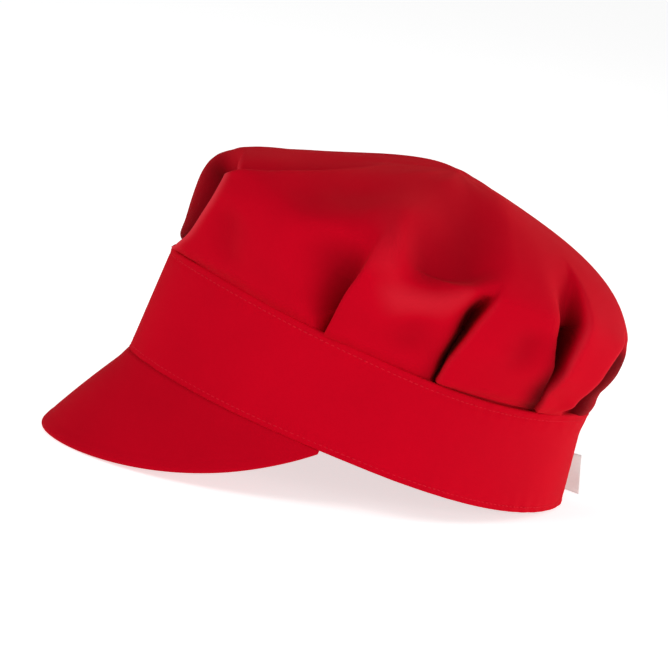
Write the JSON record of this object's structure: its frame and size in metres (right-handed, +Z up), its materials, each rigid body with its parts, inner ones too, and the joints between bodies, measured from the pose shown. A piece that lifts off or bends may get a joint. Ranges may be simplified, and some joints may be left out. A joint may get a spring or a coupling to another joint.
{
  "type": "chef hat",
  "caption": "Soft red chef hat: pleated crown gathered into an upright head band, with a short curved peak and a bare tab at the back.",
  "frame": {"origin": "on the resting surface, under the middle of the hat's outline seen from above", "axes": "+Z up from the surface it rests on; the peak points towards -Y; the wearer's left is +X"},
  "size_m": [0.1872, 0.251, 0.1398],
  "materials": {
    "crown_cloth": "fine plain-woven red cotton blend, matt with a faint sheen",
    "band_cloth": "the same red cloth in two layers, topstitched along its upper edge and its seam",
    "peak_cloth": "the same red cloth drawn smooth over a stiffener",
    "white_tape": "bare woven white tape"
  },
  "bodies": {
    "root": {"crown": "crown_cloth", "band": "band_cloth", "peak": "peak_cloth", "label_tab": "white_tape"}
  },
  "joints": []
}
